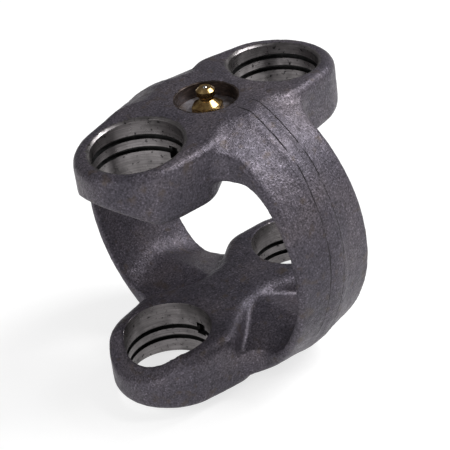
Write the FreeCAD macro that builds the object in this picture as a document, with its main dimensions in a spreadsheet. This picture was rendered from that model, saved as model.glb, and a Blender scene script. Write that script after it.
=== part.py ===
"""Centre yoke of a wide-angle drive-shaft joint: one steel forging with two pairs of bored ears.

The frame: X is the shaft axis, Z is the axis of the cross bores, and the origin is below the centre,
at the height of the lower flat land. The dies close along X, so every forged face drafts away from
the parting plane at x = 0. A brass grease nipple is screwed into a spot-faced recess on top.
"""
import FreeCAD, Part
import math
import os
import re
import Sketcher

SIZES = {
    # forging, millimetres and degrees
    "bore_spacing": 68.5,          # between the two cross axes
    "body_height": 102.2,          # over the two flat lands
    "land_length": 18,             # flat land on the parting plane, top and bottom
    "face_draft": 4.4,             # slope of the ears' outer faces
    "gap_height": 54.6,            # clear height between the upper and lower ears
    "ear_radius": 22,              # about the bore axis
    "side_draft": 8,               # how the ears widen towards the ring, seen from above
    "relief_offset": 8.8,          # where the tip relief starts, outside the bore axis
    "relief_angle": 37,            # slope of the tip relief
    "ear_outer_round": 3.5,
    "ear_inner_round": 5,
    "ring_radius": 55,             # at the parting plane
    "ring_width": 36,
    "ring_draft": 6.3,
    "ring_edge_round": 1.6,
    "flash_width": 6,              # trimmed flash land round the ring
    "flash_height": 0.4,
    "valley_radius": 9,            # hollow between an ear's side and the ring's front
    # hollow of the ring, one die impression from each side
    "hollow_depth": 36,            # from the parting plane to the impression's widest section
    "ridge_radius": 48.5,          # inside of the ring at the parting plane
    "ridge_floor": 28.5,           # height of the hollow's floor above mid-height, at the parting plane
    "ridge_corner": 9,             # between floor and side
    "mouth_radius": 51.5,          # the same three at the widest section
    "mouth_floor": 40.5,
    "mouth_corner": 16,
    # web between the ears, inside the ring
    "web_depth": 12,
    "web_half_width": 14,
    "web_round": 12,
    "web_flare": 7,                # how far inside the ring's end the web reaches the ears' width
    # the ears' outer part, narrowed where it crosses the ring
    "shoulder_half_width": 16.5,
    "shoulder_round": 14,
    "margin": 5,                   # how far cutting profiles run clear of the metal
    # machining
    "bore_radius": 16,
    "mouth_chamfer": 1.1,
    "groove_width": 1.9,           # snap-ring grooves, two in each ear
    "groove_depth": 1.3,
    "groove_inset": 7.4,           # outer groove below the land's level
    "groove_pitch": 4.75,
    "notch_width": 4,              # pliers' notch across the inner groove
    "notch_height": 5,
    "notch_depth": 2.6,
    "recess_radius": 11,
    "recess_depth": 5.7,
    "recess_chamfer": 0.5,
    "thread_radius": 4,
    "thread_depth": 7.5,
    "passage_radius": 2,
    # grease nipple
    "thread_clearance": 0.05,
    "shank_length": 5.5,
    "hex_flats": 10,
    "hex_height": 2.8,
    "hex_corner_radius": 5.6,
    "hex_chamfer": 0.5,
    "neck_radius": 2.45,
    "neck_level": 4.6,
    "neck_length": 0.8,
    "head_radius": 3.25,
    "head_length": 1.9,
    "nipple_height": 9.1,          # above the recess floor
    "crown_radius": 2.2,
    "ball_radius": 1,
    "ball_proud": 0.35,            # how far the check ball stands above the crown
    "ball_clearance": 0.06,
    "ball_travel": 0.8,
    "wire_radius": 0.13,
    "spring_turns": 6,
    "stake_length": 0.6,           # rolled-in end that holds the spring
}

doc = FreeCAD.newDocument("centre_yoke")
sheet = doc.addObject("Spreadsheet::Sheet", "sizes")
for row, (alias, size) in enumerate(SIZES.items(), start=1):
    sheet.set(f"A{row}", alias)
    sheet.set(f"B{row}", str(size))
    sheet.setAlias(f"B{row}", alias)
doc.recompute()

# Lengths that several features share, as formulas in the sheet's words.
AXIS = "bore_spacing / 2"
LAND = "body_height / 2"
FACE = f"({LAND} - (bore_spacing / 2 + ear_radius - land_length / 2) * tan(face_draft))"
TIP = "(bore_spacing / 2 + ear_radius)"
RELIEF_START = "(bore_spacing / 2 + relief_offset)"
RELIEF_END = "(gap_height / 2 + (ear_radius - relief_offset) * tan(relief_angle))"
RING_END = "(ring_width / 2 + valley_radius + 3)"
FLANK_ROOT = "(ear_radius / cos(side_draft) + (bore_spacing / 2 - ring_width / 2) * tan(side_draft))"
WEB_END = f"({RING_END} - web_flare)"
WEB_END_WIDTH = f"(ear_radius / cos(side_draft) + (bore_spacing / 2 - {WEB_END}) * tan(side_draft))"
FLANK_END = f"(ear_radius / cos(side_draft) + (bore_spacing / 2 - {RING_END} - 1) * tan(side_draft))"
WEB_TOP = "(gap_height / 2 + web_depth)"
RECESS_FLOOR = "(body_height / 2 - recess_depth)"


def formula(text):
    """The text with each of the sheet's words made a reference to its cell."""
    return re.sub(r"[a-z]+(?:_[a-z]+)*", lambda m: ("sizes." if m.group() in SIZES else "") + m.group(), text)


def value(text):
    """The number that a formula works out to now."""
    return float(sheet.evalExpression(formula(text)))


def origin_feature(body, role):
    """One of the body's own base planes or axes."""
    return next(item for item in body.Origin.OriginFeatures if item.Role == role)


def new_sketch(body, name, plane, lift=None, shift=None):
    """An empty sketch on a base plane, lifted along its normal or shifted along its first axis."""
    sketch = body.newObject("Sketcher::SketchObject", name)
    sketch.AttachmentSupport = [(origin_feature(body, plane), "")]
    sketch.MapMode = "FlatFace"
    if lift:
        sketch.setExpression("AttachmentOffset.Base.z", formula(lift))
    if shift:
        sketch.setExpression("AttachmentOffset.Base.x", formula(shift))
    return sketch


def hold(sketch, kind, edge, end, text):
    """Hold one coordinate of an edge's end at a formula's value from the sketch's origin."""
    if value(text) == 0:
        sketch.addConstraint(Sketcher.Constraint("PointOnObject", edge, end, -2 if kind == "DistanceX" else -1))
        return
    index = sketch.addConstraint(Sketcher.Constraint(kind, -1, 1, edge, end, value(text)))
    sketch.setExpression(f"Constraints[{index}]", formula(text))


def add_loop(sketch, corners, arcs=None):
    """A closed loop through corners given as formulas.

    arcs maps a side's number to its arc's radius and centre, and the arc is the short way round.
    """
    arcs = arcs or {}
    points = [FreeCAD.Vector(value(across), value(up), 0) for across, up in corners]
    first = sketch.GeometryCount
    count = len(points)
    starts, ends = [], []
    for side in range(count):
        start, end = points[side], points[(side + 1) % count]
        clockwise = False
        if side in arcs:
            radius, centre = arcs[side]
            hub = FreeCAD.Vector(value(centre[0]), value(centre[1]), 0)
            angles = [math.atan2(point.y - hub.y, point.x - hub.x) for point in (start, end)]
            clockwise = (angles[1] - angles[0]) % (2 * math.pi) > math.pi
            circle = Part.Circle(hub, FreeCAD.Vector(0, 0, 1), value(radius))
            sketch.addGeometry(Part.ArcOfCircle(circle, *(angles[::-1] if clockwise else angles)), False)
        else:
            sketch.addGeometry(Part.LineSegment(start, end), False)
        starts.append((first + side, 2 if clockwise else 1))
        ends.append((first + side, 1 if clockwise else 2))
    for side in range(count):
        sketch.addConstraint(Sketcher.Constraint("Coincident", *ends[side], *starts[(side + 1) % count]))
    for side, (across, up) in enumerate(corners):
        hold(sketch, "DistanceX", *starts[side], across)
        hold(sketch, "DistanceY", *starts[side], up)
    for side, (radius, centre) in arcs.items():
        index = sketch.addConstraint(Sketcher.Constraint("Radius", first + side, value(radius)))
        sketch.setExpression(f"Constraints[{index}]", formula(radius))


def four_ways(quarter):
    """A loop's corners from those of its first quarter, given from the second axis round to the first."""
    return (quarter + mirrored(quarter, up=True)[::-1] + mirrored(quarter, across=True, up=True)
            + mirrored(quarter, across=True)[::-1])


def mirrored(corners, across=False, up=False):
    """The same corners on the other side of the sketch's upright or level axis."""
    return [(f"-({x})" if across else x, f"-({y})" if up else y) for x, y in corners]


def new_feature(body, kind, name, profile, **settings):
    """A sketch-based feature on top of the body."""
    feature = body.newObject(f"PartDesign::{kind}", name)
    feature.Profile = profile
    for setting, choice in settings.items():
        if isinstance(choice, str) and setting in ("Length", "Length2", "Angle"):
            feature.setExpression(setting, formula(choice))
        else:
            setattr(feature, setting, choice)
    doc.recompute()
    return feature


def mirror(body, name, originals, plane):
    """The features again on the other side of a base plane."""
    copy = body.newObject("PartDesign::Mirrored", name)
    copy.Originals = originals
    copy.MirrorPlane = (origin_feature(body, plane), [""])
    body.Tip = copy
    doc.recompute()
    return copy


def dress_edges(body, kind, name, size, wanted):
    """A fillet or chamfer on the tip's edges that the test picks."""
    base = body.Tip
    names = [f"Edge{i}" for i, edge in enumerate(base.Shape.Edges, start=1) if wanted(edge)]
    feature = body.newObject(f"PartDesign::{kind}", name)
    feature.Base = (base, names)
    feature.setExpression("Radius" if kind == "Fillet" else "Size", formula(size))
    doc.recompute()
    return feature


def at(edge, **place):
    """Whether the middle of an edge lies at the given distances from the origin planes."""
    middle = edge.valueAt((edge.FirstParameter + edge.LastParameter) / 2)
    return all(abs(abs(getattr(middle, axis)) - distance) < 0.01 for axis, distance in place.items())


def runs_along(edge, axis):
    """Whether a straight edge runs along an axis, 0 for X to 2 for Z."""
    way = edge.Vertexes[-1].Point - edge.Vertexes[0].Point
    return way.Length > 1 and abs(way[axis]) > 0.999 * way.Length


def points_on(edge):
    """Both ends and the middle of an edge."""
    span = edge.LastParameter - edge.FirstParameter
    return [edge.valueAt(edge.FirstParameter + share * span) for share in (0, 0.5, 1)]


def cut_outer_faces(body):
    """The flat lands and the drafted faces beyond them, above and below."""
    sketch = new_sketch(body, "face_profile", "XZ_Plane")
    over = "(ring_radius + margin)"
    beyond = f"({TIP} + margin)"
    half = [("land_length / 2", LAND), (beyond, f"({FACE} - margin * tan(face_draft))"), (beyond, over)]
    upper = half + mirrored(half, across=True)[::-1]
    add_loop(sketch, upper)
    add_loop(sketch, mirrored(upper, up=True))
    new_feature(body, "Pocket", "outer_faces", sketch, Type="ThroughAll", Midplane=True)


def forge_ring():
    """The ring with its flash land and hollow, flanked back to leave the ears' roots."""
    body = doc.addObject("PartDesign::Body", "ring_forging")
    sketch = new_sketch(body, "ring_section", "XZ_Plane")
    edge = "(ring_radius - flash_width / 2 * tan(ring_draft))"
    end = f"(ring_radius - {RING_END} * tan(ring_draft))"
    near = [(RING_END, "0"), (RING_END, end), ("flash_width / 2", edge),
            ("flash_width / 2", f"{edge} + flash_height")]
    add_loop(sketch, near + mirrored(near, across=True)[::-1])
    new_feature(body, "Revolution", "ring_blank", sketch, ReferenceAxis=(sketch, ["H_Axis"]), Angle="360")

    sketch = new_sketch(body, "flank_plan", "XY_Plane")
    beyond = "(ring_radius + margin)"
    corner = [("ring_width / 2", FLANK_ROOT), (f"{RING_END} + 1", FLANK_END),
              (f"{RING_END} + 1", beyond), ("ring_width / 2", beyond)]
    for across in (False, True):
        for up in (False, True):
            add_loop(sketch, mirrored(corner, across, up) if across or up else corner)
    new_feature(body, "Pocket", "flanks", sketch, Type="ThroughAll", Midplane=True)
    front = value("ring_width / 2")
    root = value(FLANK_ROOT)
    dress_edges(body, "Fillet", "valleys", "valley_radius",
                lambda edge: at(edge, x=front, y=root) and runs_along(edge, 2))
    rim = value("ring_radius - ring_width / 2 * tan(ring_draft)")
    dress_edges(body, "Fillet", "ring_rounds", "ring_edge_round", lambda edge: at(edge, x=front, y=rim, z=0))
    cut_outer_faces(body)
    hollow_out(body)
    return body


def hollow_section(sketch, radius, floor, corner):
    """One section of the hollow: level floors above and below, round sides, and blends between them."""
    reach = f"sqrt(({radius} - {corner}) ^ 2 - ({floor} - {corner}) ^ 2)"
    grow = f"{radius} / ({radius} - {corner})"
    quarter = [(reach, floor), (f"{reach} * {grow}", f"({floor} - {corner}) * {grow}")]
    hub = (reach, f"{floor} - {corner}")
    origin = ("0", "0")
    add_loop(sketch, four_ways(quarter), arcs={
        0: (corner, hub), 1: (radius, origin), 2: (corner, (hub[0], f"-({hub[1]})")),
        4: (corner, (f"-{hub[0]}", f"-({hub[1]})")), 5: (radius, origin), 6: (corner, (f"-{hub[0]}", hub[1])),
    })


def hollow_out(body):
    """The inside of the ring, one die impression from each side, which meet in a ridge at x = 0."""
    ridge = new_sketch(body, "ridge_section", "YZ_Plane")
    hollow_section(ridge, "ridge_radius", "ridge_floor", "ridge_corner")
    mouth = new_sketch(body, "mouth_section", "YZ_Plane", lift="hollow_depth")
    hollow_section(mouth, "mouth_radius", "mouth_floor", "mouth_corner")
    loft = new_feature(body, "SubtractiveLoft", "hollow", ridge, Sections=[mouth], Ruled=True)
    mirror(body, "other_hollow", [loft], "YZ_Plane")


def bar_plan(body, name, lift, waist):
    """The outline of a bar with two round-ended ears, from above; waist gives its narrower middle."""
    sketch = new_sketch(body, name, "XY_Plane", lift=lift)
    quarter = waist + [(f"{AXIS} + ear_radius * sin(side_draft)", "ear_radius * cos(side_draft)")]
    count = len(quarter)
    right = quarter + mirrored(quarter, up=True)[::-1]
    left = mirrored(quarter, across=True, up=True) + mirrored(quarter, across=True)[::-1]
    add_loop(sketch, right + left, arcs={
        count - 1: ("ear_radius", (AXIS, "0")),
        3 * count - 1: ("ear_radius", (f"-({AXIS})", "0")),
    })
    return sketch


def forge_bars(name, start, end, waist, waist_round):
    """Two bars, above and below, between two heights, with the corners of their waists rounded."""
    body = doc.addObject("PartDesign::Body", f"{name}_forging")
    plan = bar_plan(body, f"{name}_plan", start, waist)
    pad = new_feature(body, "Pad", f"upper_{name}", plan, Length=f"{end} - ({start})")
    mirror(body, f"lower_{name}", [pad], "XY_Plane")
    height = value(f"({start} + {end}) / 2")
    inside = value(AXIS)
    dress_edges(body, "Fillet", f"{name}_waist_rounds", waist_round,
                lambda edge: runs_along(edge, 2) and at(edge, z=height) and abs(edge.Vertexes[0].X) < inside)
    return body


def forge_webs():
    """The ears' inner part and the webs that join it through the ring, with relieved tips."""
    waist = [("land_length / 3", "web_half_width"), (WEB_END, WEB_END_WIDTH)]
    body = forge_bars("web", "gap_height / 2", WEB_TOP, waist, "web_round")
    sketch = new_sketch(body, "relief_profile", "XZ_Plane")
    beyond = f"({TIP} + margin)"
    relief = [(RELIEF_START, "gap_height / 2"), (RELIEF_START, "gap_height / 2 - margin"),
              (beyond, "gap_height / 2 - margin"), (beyond, f"({RELIEF_END} + margin * tan(relief_angle))")]
    for across in (False, True):
        for up in (False, True):
            add_loop(sketch, mirrored(relief, across, up) if across or up else relief)
    new_feature(body, "Pocket", "tip_reliefs", sketch, Type="ThroughAll", Midplane=True)
    dress_edges(body, "Fillet", "inner_rounds", "ear_inner_round",
                lambda edge: not runs_along(edge, 1) and all(on_inner_face(p) for p in points_on(edge)))
    return body


def forge_ears():
    """The ears' outer part, with the lands and drafted faces on top and rounded edges."""
    waist = [("land_length / 3", "shoulder_half_width"), ("ring_width / 2", FLANK_ROOT)]
    body = forge_bars("ear", WEB_TOP, LAND, waist, "shoulder_round")
    cut_outer_faces(body)
    dress_edges(body, "Fillet", "outer_rounds", "ear_outer_round",
                lambda edge: not runs_along(edge, 1) and all(on_outer_face(p) for p in points_on(edge)))
    return body


def on_outer_face(point):
    """Whether a point lies on a land or on the drafted face beyond it."""
    fall = max(0, abs(point.x) - value("land_length / 2")) * math.tan(math.radians(value("face_draft")))
    return abs(abs(point.z) - value(LAND) + fall) < 0.01


def on_inner_face(point):
    """Whether a point lies on an ear's inner face or on its tip relief."""
    rise = max(0, abs(point.x) - value(RELIEF_START)) * math.tan(math.radians(value("relief_angle")))
    return abs(abs(point.z) - value("gap_height / 2") - rise) < 0.01


def bore_ears(body):
    """The four cross bores with their snap-ring grooves, mouth chamfers and pliers' notches."""
    sketch = new_sketch(body, "bore_section", "XZ_Plane", shift=AXIS)
    over = "(body_height / 2 + margin)"
    outer = "(body_height / 2 - groove_inset)"
    wall, root = "bore_radius", "(bore_radius + groove_depth)"
    upper = [(wall, over)]
    for top in (outer, f"({outer} - groove_pitch)"):
        low = f"({top} - groove_width)"
        upper += [(wall, top), (root, top), (root, low), (wall, low)]
    add_loop(sketch, [("0", over)] + upper + mirrored(upper, up=True)[::-1] + [("0", f"-{over}")])
    bore = new_feature(body, "Groove", "bores", sketch, ReferenceAxis=(sketch, ["V_Axis"]), Angle="360")
    mirror(body, "other_bores", [bore], "YZ_Plane")
    radius = value("bore_radius")
    dress_edges(body, "Chamfer", "mouth_chamfers", "mouth_chamfer",
                lambda edge: all(on_outer_face(p) and on_bore(p, radius) for p in points_on(edge)))

    sketch = new_sketch(body, "notch_section", "XZ_Plane")
    near = f"({AXIS} - bore_radius - notch_depth)"
    top = f"({outer} - groove_pitch + 1)"
    notch = [(near, f"{top} - notch_height"), (f"{AXIS} - bore_radius + 2", f"{top} - notch_height"),
             (f"{AXIS} - bore_radius + 2", top), (near, top)]
    for across in (False, True):
        for up in (False, True):
            add_loop(sketch, mirrored(notch, across, up) if across or up else notch)
    new_feature(body, "Pocket", "notches", sketch, Length="notch_width", Midplane=True)


def on_bore(point, radius):
    """Whether a point lies at a radius about one of the bore axes."""
    return abs(math.hypot(abs(point.x) - value(AXIS), point.y) - radius) < 0.01


def cut_recess(body):
    """The spot-faced recess on top, with the nipple's tapped hole and the passage to the inside."""
    sketch = new_sketch(body, "recess_section", "XZ_Plane")
    floor = RECESS_FLOOR
    section = [
        ("0", f"{LAND} + 1"), ("recess_radius + recess_chamfer + 1", f"{LAND} + 1"),
        ("recess_radius", f"{LAND} - recess_chamfer"), ("recess_radius", floor),
        ("thread_radius", floor), ("thread_radius", f"{floor} - thread_depth"),
        ("passage_radius", f"{floor} - thread_depth - thread_radius + passage_radius"),
        ("passage_radius", "gap_height / 2 - 2"), ("0", "gap_height / 2 - 2"),
    ]
    add_loop(sketch, section)
    new_feature(body, "Groove", "nipple_recess", sketch, ReferenceAxis=(sketch, ["V_Axis"]), Angle="360")


def make_yoke():
    """The finished forging: ring, webs and ears as one piece, bored and spot-faced."""
    blank = doc.addObject("Part::MultiFuse", "forging")
    blank.Shapes = [forge_ring(), forge_webs(), forge_ears()]
    blank.Refine = True
    body = doc.addObject("PartDesign::Body", "yoke")
    body.BaseFeature = blank
    doc.recompute()
    bore_ears(body)
    cut_recess(body)
    return body


def turned_body(name, section):
    """A turned piece about the nipple's axis, its section given from the recess floor up."""
    body = doc.addObject("PartDesign::Body", name)
    sketch = new_sketch(body, f"{name}_section", "XZ_Plane")
    add_loop(sketch, [(across, f"{RECESS_FLOOR} + {up}") for across, up in section])
    new_feature(body, "Revolution", f"{name}_turning", sketch, ReferenceAxis=(sketch, ["V_Axis"]), Angle="360")
    return body


# The check valve inside the nipple, measured from the recess floor.
BALL_LEVEL = "(nipple_height + ball_proud - ball_radius)"
CHAMBER = "(ball_radius + ball_clearance)"
COIL = f"({CHAMBER} - wire_radius - ball_clearance)"
SPRING_FOOT = "(stake_length - shank_length + wire_radius)"
SPRING_HEAD = f"({BALL_LEVEL} - sqrt((ball_radius + wire_radius + ball_clearance / 3) ^ 2 - {COIL} ^ 2))"


def make_nipple():
    """The grease nipple's body: shank, hexagon, neck and head, bored for its check valve."""
    shank = "(thread_radius - thread_clearance)"
    shoulder = "(head_radius - neck_radius)"
    seat = "(sqrt(2) * (ball_radius + ball_clearance))"
    section = [
        ("passage_radius / 2", "-shank_length"), (shank, "-shank_length"), (shank, "0"),
        ("hex_corner_radius", "0"), ("hex_corner_radius", "(hex_height - hex_chamfer)"),
        ("(hex_flats / 2 - hex_chamfer)", "hex_height"), ("neck_radius", "neck_level"),
        ("neck_radius", "(neck_level + neck_length)"),
        ("head_radius", f"(neck_level + neck_length + {shoulder})"),
        ("head_radius", f"(neck_level + neck_length + {shoulder} + head_length)"),
        ("crown_radius", "nipple_height"),
        (f"({seat} + {BALL_LEVEL} - nipple_height)", "nipple_height"),
        (CHAMBER, f"({seat} + {BALL_LEVEL} - {CHAMBER})"),
        (CHAMBER, "(stake_length - shank_length)"), ("passage_radius / 2", "(stake_length - shank_length)"),
    ]
    body = turned_body("grease_nipple", section)
    sketch = new_sketch(body, "flat_section", "XZ_Plane")
    low, high = RECESS_FLOOR, f"({RECESS_FLOOR} + neck_level)"
    add_loop(sketch, [("hex_flats / 2", f"{low} - 1"), ("hex_corner_radius + 1", f"{low} - 1"),
                      ("hex_corner_radius + 1", high), ("hex_flats / 2", high)])
    flat = new_feature(body, "Pocket", "flat", sketch, Type="ThroughAll", Midplane=True)
    hexagon = body.newObject("PartDesign::PolarPattern", "hexagon")
    hexagon.Originals = [flat]
    hexagon.Axis = (origin_feature(body, "Z_Axis"), [""])
    hexagon.Occurrences = 6
    body.Tip = hexagon
    doc.recompute()
    return body


def make_check_ball():
    """The steel ball that closes the nipple, held up against its seat by the spring."""
    ball = doc.addObject("Part::Sphere", "check_ball")
    ball.setExpression("Radius", formula("ball_radius"))
    ball.setExpression("Placement.Base.z", formula(f"{LAND} + {RECESS_FLOOR} + {BALL_LEVEL}"))
    return ball


def make_spring():
    """The check valve's coil spring, from the rolled-in end of the shank up to the ball."""
    body = doc.addObject("PartDesign::Body", "valve_spring")
    sketch = new_sketch(body, "wire_section", "XZ_Plane")
    index = sketch.addGeometry(Part.Circle(FreeCAD.Vector(value(COIL), value(f"{RECESS_FLOOR} + {SPRING_FOOT}"), 0),
                                           FreeCAD.Vector(0, 0, 1), value("wire_radius")), False)
    hold(sketch, "DistanceX", index, 3, COIL)
    hold(sketch, "DistanceY", index, 3, f"{RECESS_FLOOR} + {SPRING_FOOT}")
    radius = sketch.addConstraint(Sketcher.Constraint("Radius", index, value("wire_radius")))
    sketch.setExpression(f"Constraints[{radius}]", formula("wire_radius"))
    coil = body.newObject("PartDesign::AdditiveHelix", "coil")
    coil.Profile = sketch
    coil.ReferenceAxis = (sketch, ["V_Axis"])
    coil.Mode = "pitch-height-angle"
    coil.setExpression("Height", formula(f"{SPRING_HEAD} - {SPRING_FOOT}"))
    coil.setExpression("Pitch", formula(f"({SPRING_HEAD} - {SPRING_FOOT}) / spring_turns"))
    doc.recompute()
    return body


def stand_up(body):
    """Lift a body so that the lower land lies at z = 0."""
    body.setExpression("Placement.Base.z", formula(LAND))


def check_model(pieces):
    """Stop if any object failed or any piece's solid is missing or broken."""
    failed = [item.Name for item in doc.Objects if {"Invalid", "Error"} & set(item.State)]
    broken = [piece.Label for piece in pieces if piece.Shape.isNull() or not piece.Shape.isValid()]
    if failed or broken:
        raise RuntimeError(f"failed: {failed}, broken: {broken}")


def main():
    yoke, nipple, spring = make_yoke(), make_nipple(), make_spring()
    for body in (yoke, nipple, spring):
        stand_up(body)
    pieces = [yoke, nipple, spring, make_check_ball()]
    doc.recompute()
    check_model(pieces)
    os.makedirs("parts", exist_ok=True)
    for piece in pieces:
        piece.Shape.exportStep(f"parts/{piece.Label}.step")
        print(piece.Label, round(piece.Shape.Volume, 1), "mm3")



main()
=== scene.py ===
"""Looks of the forged centre yoke: as-forged skin, machined bores, brass nipple, in a plain studio."""

import math

import bmesh
import bpy
from mathutils import Matrix, Vector, noise


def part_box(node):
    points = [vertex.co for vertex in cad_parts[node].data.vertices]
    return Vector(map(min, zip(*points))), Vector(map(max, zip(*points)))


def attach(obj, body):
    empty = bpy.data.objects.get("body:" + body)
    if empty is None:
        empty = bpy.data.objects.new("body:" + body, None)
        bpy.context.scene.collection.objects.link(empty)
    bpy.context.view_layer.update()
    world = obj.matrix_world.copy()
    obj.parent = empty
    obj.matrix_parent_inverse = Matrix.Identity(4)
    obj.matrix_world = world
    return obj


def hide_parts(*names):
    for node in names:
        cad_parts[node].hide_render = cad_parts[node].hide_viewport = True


MM = 0.001

# The part's driving sizes, in millimetres and degrees, with heights taken from mid-height.
AXIS = 34.25
LAND = 51.1
LAND_END = 9
FACE_DRAFT = math.radians(4.4)
INNER_FACE = 27.3
RELIEF_START = 43.05
RELIEF_ANGLE = math.radians(37)
BORE = 16
CHAMFER = 1.1
GROOVE_ROOT = 17.3
GROOVE_WIDTH = 1.9
GROOVE_TOPS = (43.7, 38.95)
NOTCH_WIDTH = 4
NOTCH_HEIGHT = 5
NOTCH_TOP = 39.95
NOTCH_DEPTH = 2.6
RECESS = 11
RECESS_FLOOR = 45.4
RECESS_CHAMFER = 0.5
THREAD = 4
THREAD_END = 37.9
PASSAGE = 2

# How the blank is plugged and cut, in millimetres.
UNDER = 0.6             # how far a plug's ends stay below the skin
BORE_LAP = 0.2          # how far a plug reaches into the metal round its hollow
NOTCH_LAP = 0.3
NOTCH_INWARD = 3        # how far a notch's plug and its cutter reach into the bore
NOTCH_CUT = 2
CLEAR = 1
PASSAGE_PAST = 2
VOXEL = 0.85
EDGE = 0.06             # how far a face's middle may lie from its nominal surface

# The skin's unevenness: patch size and depth in millimetres, and a shift that keeps the patterns apart.
UNEVEN_LEVEL = 0.14
UNEVEN = ((11, 0.12, 0), (2.6, 0.07, 31), (1.15, 0.05, 57))

# The trimmed flash's two lines at mid-height, in millimetres from the ring's plane, and their slant.
FLASH_LINES = (-4.5, 2)
FLASH_LEAN = 0.09
LINE_WIDTH = 0.32
LINE_WAVER = 1.6
LINE_RADIUS = 53        # the lines show only this far from the shaft axis

FLOOR_GAP = 0.0002      # metres below the part
SURROUND = 0.16
FLOOR_TONE = 0.42
FLOOR_GLOW = 0.72
# Soft boxes: azimuth and elevation in degrees, distance and size in metres, power in watts.
LIGHTS = {"key": (-35, 48, 0.9, 0.5, 9), "left": (175, 30, 1.0, 0.6, 4), "front": (-125, 2, 1.1, 0.5, 3.2)}

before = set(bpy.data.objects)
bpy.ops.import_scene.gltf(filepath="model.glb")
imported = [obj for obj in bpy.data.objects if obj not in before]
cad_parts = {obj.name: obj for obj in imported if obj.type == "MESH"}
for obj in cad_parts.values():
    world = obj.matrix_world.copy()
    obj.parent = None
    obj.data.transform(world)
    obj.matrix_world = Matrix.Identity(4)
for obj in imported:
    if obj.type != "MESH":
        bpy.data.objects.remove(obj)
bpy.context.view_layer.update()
low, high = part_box("yoke")
CENTRE = (low + high) / 2


def face_height(x):
    """Height of the ears' outer face over mid-height at a distance from the ring's plane."""
    return LAND - max(0, abs(x) - LAND_END) * math.tan(FACE_DRAFT)


def inner_height(x):
    """Height of the ears' inner face over mid-height."""
    return INNER_FACE + max(0, abs(x) - RELIEF_START) * math.tan(RELIEF_ANGLE)


def make_object(name, data):
    """An object in the scene that shows the data."""
    made = bpy.data.objects.new(name, data)
    bpy.context.collection.objects.link(made)
    return made


def turned(build, centre, rings, steps=128):
    """A closed turned form about an upright axis; each ring is a radius and a height or a rule for it."""
    loops = []
    for radius, height in rings:
        loop = []
        for step in range(steps):
            angle = 2 * math.pi * step / steps
            x = centre + radius * math.cos(angle)
            z = height(x) if callable(height) else height
            loop.append(build.verts.new(Vector((x, radius * math.sin(angle), z)) * MM + CENTRE))
        loops.append(loop)
    for upper, lower in zip(loops, loops[1:]):
        for step in range(steps):
            after = (step + 1) % steps
            build.faces.new((upper[step], lower[step], lower[after], upper[after]))
    build.faces.new(loops[0])
    build.faces.new(loops[-1][::-1])


def block(build, corner, opposite):
    """A closed box between two corners."""
    made = bmesh.ops.create_cube(build, size=1)["verts"]
    middle = (Vector(corner) + Vector(opposite)) / 2
    span = Vector(opposite) - Vector(corner)
    for vert in made:
        vert.co = Vector(span[i] * vert.co[i] + middle[i] for i in range(3)) * MM + CENTRE


def mesh_from(build, name):
    """A mesh with outward normals from what was built."""
    bmesh.ops.recalc_face_normals(build, faces=build.faces)
    mesh = bpy.data.meshes.new(name)
    build.to_mesh(mesh)
    build.free()
    return mesh


def make_plugs():
    """Closed forms that fill every machined hollow, so that the skin can be worked as one blank."""
    build = bmesh.new()
    for side in (-1, 1):
        for up in (-1, 1):
            turned(build, side * AXIS, [
                (GROOVE_ROOT + BORE_LAP, lambda x: up * (face_height(x) - UNDER)),
                (GROOVE_ROOT + BORE_LAP, lambda x: up * (inner_height(x) + UNDER)),
            ], 64)
            edge = side * (AXIS - BORE)
            block(build, (edge - side * (NOTCH_DEPTH + NOTCH_LAP), -NOTCH_WIDTH, up * (NOTCH_TOP + CLEAR)),
                  (edge + side * NOTCH_INWARD, NOTCH_WIDTH, up * (NOTCH_TOP - NOTCH_HEIGHT - CLEAR)))
    turned(build, 0, [(RECESS + CLEAR, LAND - UNDER), (RECESS + CLEAR, RECESS_FLOOR - CLEAR)], 64)
    turned(build, 0, [(THREAD + CLEAR, RECESS_FLOOR), (THREAD + CLEAR, INNER_FACE + UNDER)], 64)
    return mesh_from(build, "plugs")


def make_cutter():
    """The machined bores, with their snap-ring grooves and mouth chamfers."""
    build = bmesh.new()
    for side in (-1, 1):
        upper = [(BORE + 2 * CHAMFER, lambda x: face_height(x) + CHAMFER),
                 (BORE, lambda x: face_height(x) - CHAMFER)]
        for top in GROOVE_TOPS:
            upper += [(BORE, top), (GROOVE_ROOT, top), (GROOVE_ROOT, top - GROOVE_WIDTH),
                      (BORE, top - GROOVE_WIDTH)]
        lower = [(BORE + 2 * CHAMFER, lambda x: -face_height(x) - CHAMFER),
                 (BORE, lambda x: CHAMFER - face_height(x))]
        lower += [(radius, -height) for radius, height in upper[2:]]
        turned(build, side * AXIS, upper + lower[::-1])
    return mesh_from(build, "cutter")


def make_small_cutter():
    """The pliers' notches and the nipple's seat, cut after the bores."""
    build = bmesh.new()
    for side in (-1, 1):
        for up in (-1, 1):
            edge = side * (AXIS - BORE)
            block(build, (edge - side * NOTCH_DEPTH, -NOTCH_WIDTH / 2, up * NOTCH_TOP),
                  (edge + side * NOTCH_CUT, NOTCH_WIDTH / 2, up * (NOTCH_TOP - NOTCH_HEIGHT)))
    turned(build, 0, [
        (RECESS + RECESS_CHAMFER + CLEAR, LAND + CLEAR), (RECESS, LAND - RECESS_CHAMFER),
        (RECESS, RECESS_FLOOR),
        (THREAD, RECESS_FLOOR), (THREAD, THREAD_END), (PASSAGE, THREAD_END - THREAD + PASSAGE),
        (PASSAGE, INNER_FACE - PASSAGE_PAST),
    ], 96)
    return mesh_from(build, "small_cutter")


def apply_modifiers(target):
    """Bake the object's modifiers into its mesh."""
    depsgraph = bpy.context.evaluated_depsgraph_get()
    baked = bpy.data.meshes.new_from_object(target.evaluated_get(depsgraph), depsgraph=depsgraph)
    target.modifiers.clear()
    target.data = baked


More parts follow.
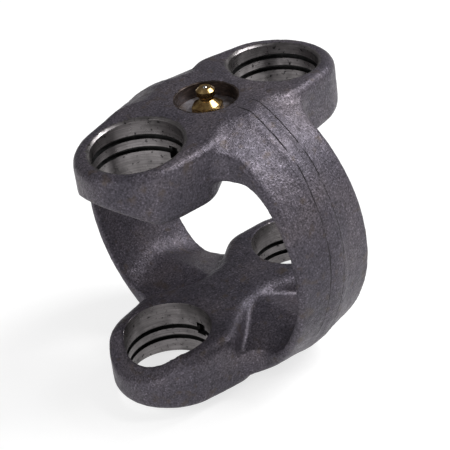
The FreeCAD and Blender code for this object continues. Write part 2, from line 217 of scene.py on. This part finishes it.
def roughen(mesh):
    """Sink the skin a little, unevenly: broad waves, lumps and scale."""
    up = Vector((0, 0, 1))
    normals = [vert.normal.copy() for vert in mesh.vertices]
    for vert, normal in zip(mesh.vertices, normals):
        place = (vert.co - CENTRE) / MM
        depth = UNEVEN_LEVEL
        for size, amount, shift in UNEVEN:
            depth += amount * noise.noise(place / size + up * shift)
        vert.co -= normal * max(0, depth) * MM


def make_forging():
    """The yoke's skin: the blank remeshed, softened and roughened, then bored and spot-faced."""
    blank = make_object("forging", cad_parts["yoke"].data.copy())
    plugs = make_object("plugs", make_plugs())
    build = bmesh.new()
    build.from_mesh(blank.data)
    build.from_mesh(plugs.data)
    build.to_mesh(blank.data)
    build.free()
    bpy.data.objects.remove(plugs)

    remesh = blank.modifiers.new("even_mesh", "REMESH")
    remesh.mode = "VOXEL"
    remesh.voxel_size = VOXEL * MM
    soften = blank.modifiers.new("soften", "SMOOTH")
    soften.factor = 0.5
    soften.iterations = 6
    apply_modifiers(blank)
    roughen(blank.data)

    for cutter_mesh in (make_cutter(), make_small_cutter()):
        cutter = make_object("cutter", cutter_mesh)
        cut = blank.modifiers.new("cut", "BOOLEAN")
        cut.operation = "DIFFERENCE"
        cut.solver = "MANIFOLD"
        cut.object = cutter
        apply_modifiers(blank)
        bpy.data.objects.remove(cutter)
    return blank


def point_camera():
    """A long lens that looks down on the near left ear, rolled a little clockwise."""
    data = bpy.data.cameras.new("camera")
    data.lens = 131.7
    camera = make_object("camera", data)
    azimuth, elevation, roll = (math.radians(angle) for angle in (-132.54, 32.45, -7.94))
    distance = 0.5897
    target = CENTRE + Vector((-0.00193, -0.00259, 0))
    back = Vector((math.cos(elevation) * math.cos(azimuth), math.cos(elevation) * math.sin(azimuth),
                   math.sin(elevation)))
    right = Vector((0, 0, 1)).cross(back).normalized()
    up = back.cross(right)
    across = math.cos(roll) * right + math.sin(roll) * up
    upward = math.cos(roll) * up - math.sin(roll) * right
    turn = Matrix((across, upward, back)).transposed().to_4x4()
    camera.matrix_world = Matrix.Translation(target + distance * back) @ turn
    bpy.context.scene.camera = camera


def area_light(name, azimuth, elevation, distance, size, power):
    """A square soft box that faces the part's centre."""
    data = bpy.data.lights.new(name, "AREA")
    data.size = size
    data.energy = power
    light = make_object(name, data)
    a, e = math.radians(azimuth), math.radians(elevation)
    back = Vector((math.cos(e) * math.cos(a), math.cos(e) * math.sin(a), math.sin(e)))
    light.location = CENTRE + distance * back
    light.rotation_mode = "QUATERNION"
    light.rotation_quaternion = back.to_track_quat("Z", "Y")


def build_studio():
    """A pale floor that shows almost white, soft boxes and an even grey surround."""
    bpy.context.scene.view_settings.view_transform = "Standard"
    world = bpy.data.worlds.new("surround")
    world.use_nodes = True
    bpy.context.scene.world = world
    background = world.node_tree.nodes["Background"]
    background.inputs["Color"].default_value = (1, 1, 1, 1)
    background.inputs["Strength"].default_value = SURROUND
    for name, settings in LIGHTS.items():
        area_light(name, *settings)

    build = bmesh.new()
    bmesh.ops.create_grid(build, x_segments=1, y_segments=1, size=3)
    floor = make_object("floor", mesh_from(build, "floor"))
    floor.location.z = min(low.z, 0) - FLOOR_GAP
    material, tree, shader = new_material("floor_paint", 0.9, 0)
    shader.inputs["Base Color"].default_value = (FLOOR_TONE, FLOOR_TONE, FLOOR_TONE, 1)
    shader.inputs["Specular IOR Level"].default_value = 0
    rays = tree.nodes.new("ShaderNodeLightPath")
    seen = maths(tree, "MAXIMUM", rays.outputs["Is Camera Ray"], rays.outputs["Is Glossy Ray"])
    seen = maths(tree, "MAXIMUM", seen, rays.outputs["Is Transmission Ray"])
    shader.inputs["Emission Color"].default_value = (1, 1, 1, 1)
    tree.links.new(maths(tree, "MULTIPLY", seen, FLOOR_GLOW), shader.inputs["Emission Strength"])
    floor.data.materials.append(material)


def new_material(name, rough, metallic):
    """A material with its node tree and its shader."""
    material = bpy.data.materials.new(name)
    material.use_nodes = True
    tree = material.node_tree
    shader = tree.nodes["Principled BSDF"]
    shader.inputs["Roughness"].default_value = rough
    shader.inputs["Metallic"].default_value = metallic
    return material, tree, shader


def maths(tree, operation, first, second):
    """A maths node's result from two sockets or numbers."""
    node = tree.nodes.new("ShaderNodeMath")
    node.operation = operation
    for socket, source in zip(node.inputs, (first, second)):
        if isinstance(source, (int, float)):
            socket.default_value = source
        else:
            tree.links.new(source, socket)
    return node.outputs[0]


def noise_map(tree, scale, detail=2, stretch=(1, 1, 1)):
    """A noise pattern in the object's own space; scale is in patches per metre."""
    place = tree.nodes.new("ShaderNodeTexCoord")
    mapping = tree.nodes.new("ShaderNodeMapping")
    mapping.inputs["Scale"].default_value = stretch
    tree.links.new(place.outputs["Object"], mapping.inputs["Vector"])
    pattern = tree.nodes.new("ShaderNodeTexNoise")
    pattern.inputs["Scale"].default_value = scale
    pattern.inputs["Detail"].default_value = detail
    tree.links.new(mapping.outputs["Vector"], pattern.inputs["Vector"])
    return pattern.outputs["Fac"]


def ramp(tree, source, stops):
    """A colour ramp; stops maps a position to a linear colour or a grey."""
    node = tree.nodes.new("ShaderNodeValToRGB")
    tree.links.new(source, node.inputs["Fac"])
    elements = node.color_ramp.elements
    while len(elements) < len(stops):
        elements.new(1)
    for element, (position, colour) in zip(elements, stops):
        element.position = position
        element.color = (colour, colour, colour, 1) if isinstance(colour, (int, float)) else (*colour, 1)
    return node.outputs["Color"]


def mix(tree, blend, share, first, second):
    """A colour mix of two sockets or colours."""
    node = tree.nodes.new("ShaderNodeMix")
    node.data_type = "RGBA"
    node.blend_type = blend
    factor, colour, other_colour = node.inputs[0], node.inputs[6], node.inputs[7]
    for socket, source in zip((factor, colour, other_colour), (share, first, second)):
        if isinstance(source, (int, float)):
            socket.default_value = source
        elif isinstance(source, tuple):
            socket.default_value = (*source, 1)
        else:
            tree.links.new(source, socket)
    return node.outputs[2]


def bumps(tree, shader, patterns):
    """Stacked bumps; each is a pattern, its height in millimetres and its strength."""
    normal = None
    for pattern, height, strength in patterns:
        node = tree.nodes.new("ShaderNodeBump")
        node.inputs["Distance"].default_value = height * MM
        node.inputs["Strength"].default_value = strength
        tree.links.new(pattern, node.inputs["Height"])
        if normal:
            tree.links.new(normal, node.inputs["Normal"])
        normal = node.outputs["Normal"]
    tree.links.new(normal, shader.inputs["Normal"])


def forged_skin():
    """Scale-blasted forging: dark satin steel with a sand-like sparkling grain, patchy oxide and painted
    shade along the flash lines.
    """
    material, tree, shader = new_material("forged_skin", 0.5, 0.62)
    patches = ramp(tree, noise_map(tree, 55, 4), [(0.3, (0.062, 0.056, 0.072)), (0.5, (0.086, 0.076, 0.094)),
                                                 (0.72, (0.116, 0.100, 0.116))])
    sand = noise_map(tree, 1500, 3)
    grain = ramp(tree, sand, [(0.30, 0.38), (0.5, 0.92), (0.62, 1.2), (0.74, 2.4)])
    colour = mix(tree, "MULTIPLY", 1.0, patches, grain)
    rust = ramp(tree, noise_map(tree, 240, 5), [(0.58, 0.0), (0.70, 0.55)])
    colour = mix(tree, "MIX", rust, colour, (0.075, 0.055, 0.042))
    line = flash_steps_and_painted_shade(tree)
    # Painted shade: the trimmed flash's small step is coloured almost black along the two lines.
    colour = mix(tree, "MIX", line, colour, (0.012, 0.010, 0.010))
    tree.links.new(colour, shader.inputs["Base Color"])
    rough = ramp(tree, noise_map(tree, 420, 3), [(0.3, 0.40), (0.7, 0.60)])
    tree.links.new(rough, shader.inputs["Roughness"])
    level = maths(tree, "SUBTRACT", 1, line)
    bumps(tree, shader, [(noise_map(tree, 260, 3), 0.5, 0.35), (level, 0.3, 0.8), (sand, 0.22, 0.75)])
    return material


def flash_steps_and_painted_shade(tree):
    """Two thin, broken, slightly wavering lines round the ring, where its flash was trimmed: a mask for the
    small step's bump and for the painted shade along it.
    """
    place = tree.nodes.new("ShaderNodeTexCoord")
    split = tree.nodes.new("ShaderNodeSeparateXYZ")
    tree.links.new(place.outputs["Object"], split.inputs["Vector"])
    waver = maths(tree, "MULTIPLY", maths(tree, "SUBTRACT", noise_map(tree, 60, 3), 0.5), LINE_WAVER * MM)
    lean = maths(tree, "MULTIPLY", maths(tree, "SUBTRACT", split.outputs["Z"], CENTRE.z), FLASH_LEAN)
    along = maths(tree, "SUBTRACT", maths(tree, "ADD", split.outputs["X"], waver), lean)
    total = None
    for line in FLASH_LINES:
        offset = maths(tree, "ABSOLUTE", maths(tree, "SUBTRACT", along, line * MM), 0)
        apart = maths(tree, "MINIMUM", maths(tree, "DIVIDE", offset, LINE_WIDTH * MM), 1)
        near = maths(tree, "SUBTRACT", 1, apart)
        total = near if total is None else maths(tree, "MAXIMUM", total, near)
    broken = ramp(tree, noise_map(tree, 170, 3), [(0.40, 0.15), (0.52, 1.0)])
    outside = maths(tree, "GREATER_THAN", ring_reach(tree, split), LINE_RADIUS * MM)
    return maths(tree, "MULTIPLY", maths(tree, "MULTIPLY", total, broken), outside)


def ring_reach(tree, split):
    """Distance from the shaft axis, which lies at mid-height."""
    up = maths(tree, "SUBTRACT", split.outputs["Z"], CENTRE.z)
    square = maths(tree, "ADD", maths(tree, "POWER", split.outputs["Y"], 2), maths(tree, "POWER", up, 2))
    return maths(tree, "SQRT", square, 0)


def machined_wall():
    """Bored and turned steel: bright, with fine turning marks, freckles and small dark pits."""
    material, tree, shader = new_material("machined_steel", 0.34, 0.9)
    lines = noise_map(tree, 60, 2, (1, 1, 60))
    tone = ramp(tree, lines, [(0.3, (0.15, 0.138, 0.14)), (0.7, (0.28, 0.262, 0.265))])
    pits = ramp(tree, noise_map(tree, 700, 4), [(0.30, 0.12), (0.40, 1.0)])
    cloud = ramp(tree, noise_map(tree, 130, 4), [(0.34, 0.55), (0.62, 1.0)])
    colour = mix(tree, "MULTIPLY", 1.0, mix(tree, "MULTIPLY", 1.0, tone, pits), cloud)
    tree.links.new(colour, shader.inputs["Base Color"])
    rough = ramp(tree, noise_map(tree, 300, 3), [(0.3, 0.24), (0.7, 0.42)])
    tree.links.new(rough, shader.inputs["Roughness"])
    bumps(tree, shader, [(lines, 0.03, 0.5), (noise_map(tree, 900, 2), 0.05, 0.5)])
    return material


def groove_painted_shade():
    """The roots of the snap-ring grooves and notches, painted near black as shade."""
    material, tree, shader = new_material("painted_groove_shade", 0.45, 0.3)
    # Painted shade: the grooves' and notches' roots are coloured near black.
    tone = ramp(tree, noise_map(tree, 500, 3), [(0.35, 0.004), (0.7, 0.022)])
    tree.links.new(tone, shader.inputs["Base Color"])
    return material


def spot_face():
    """The recess round the nipple: a bright turned floor with rusty freckles."""
    material, tree, shader = new_material("spot_face", 0.38, 0.8)
    cloud = ramp(tree, noise_map(tree, 330, 4), [(0.35, (0.20, 0.16, 0.14)), (0.55, (0.46, 0.44, 0.48)),
                                                 (0.75, (0.62, 0.60, 0.66))])
    tree.links.new(cloud, shader.inputs["Base Color"])
    bumps(tree, shader, [(noise_map(tree, 800, 3), 0.06, 0.6)])
    return material


def recess_wall():
    """The recess's bored wall, browned by rust."""
    material, tree, shader = new_material("rusty_wall", 0.5, 0.6)
    streaks = noise_map(tree, 300, 4, (1, 1, 4))
    tone = ramp(tree, streaks, [(0.35, (0.014, 0.009, 0.008)), (0.6, (0.04, 0.026, 0.021)),
                                (0.8, (0.16, 0.13, 0.12))])
    tree.links.new(tone, shader.inputs["Base Color"])
    bumps(tree, shader, [(noise_map(tree, 700, 3), 0.06, 0.6)])
    return material


def brass():
    """Brass with a brown tarnish in patches."""
    material, tree, shader = new_material("brass", 0.24, 1)
    tone = ramp(tree, noise_map(tree, 420, 4), [(0.3, (0.20, 0.11, 0.045)), (0.5, (0.48, 0.31, 0.12)),
                                               (0.7, (0.72, 0.50, 0.22))])
    tree.links.new(tone, shader.inputs["Base Color"])
    bumps(tree, shader, [(noise_map(tree, 1100, 2), 0.02, 0.4)])
    return material


def bright_steel(name, rough):
    material, tree, shader = new_material(name, rough, 1)
    tone = ramp(tree, noise_map(tree, 900, 3), [(0.3, 0.42), (0.7, 0.62)])
    tree.links.new(tone, shader.inputs["Base Color"])
    return material


def finish_of(place):
    """A face's finish by its middle: 0 skin, 1 machined, 2 groove or notch, 3 spot face, 4 recess wall."""
    height = abs(place.z)
    along = abs(place.x) - AXIS
    reach = math.hypot(along, place.y)
    centre = math.hypot(place.x, place.y)
    in_groove = (BORE + EDGE < reach < GROOVE_ROOT + EDGE
                 and min(GROOVE_TOPS) - GROOVE_WIDTH - EDGE < height < max(GROOVE_TOPS) + EDGE)
    in_notch = (abs(place.y) < NOTCH_WIDTH / 2 + EDGE and -BORE - NOTCH_DEPTH - EDGE < along < -BORE + EDGE
                and NOTCH_TOP - NOTCH_HEIGHT - EDGE < height < NOTCH_TOP + EDGE)
    if in_groove or in_notch:
        return 2
    if reach < BORE + EDGE or reach < BORE + CHAMFER + EDGE and height > max(GROOVE_TOPS):
        return 1
    if place.z > THREAD_END - THREAD and centre < RECESS + RECESS_CHAMFER + EDGE:
        return 4 if centre > RECESS - EDGE else 3
    return 0


def finish_forging(target):
    """Give each face its finish, and keep the machined edges crisp."""
    mesh = target.data
    mesh.materials.clear()
    for material in (forged_skin(), machined_wall(), groove_painted_shade(), spot_face(), recess_wall()):
        mesh.materials.append(material)
    for face in mesh.polygons:
        face.material_index = finish_of((face.center - CENTRE) / MM)
        face.use_smooth = True
    mesh.set_sharp_from_angle(angle=math.radians(32))


forging = make_forging()
finish_forging(forging)
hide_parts("yoke")
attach(forging, "yoke_body")
finishes = {
    "yoke": forged_skin,
    "grease_nipple": brass,
    "check_ball": lambda: bright_steel("ball_steel", 0.12),
    "valve_spring": lambda: bright_steel("spring_steel", 0.3),
}
for name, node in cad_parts.items():
    node.data.materials.clear()
    node.data.materials.append(finishes[name]())

build_studio()
point_camera()
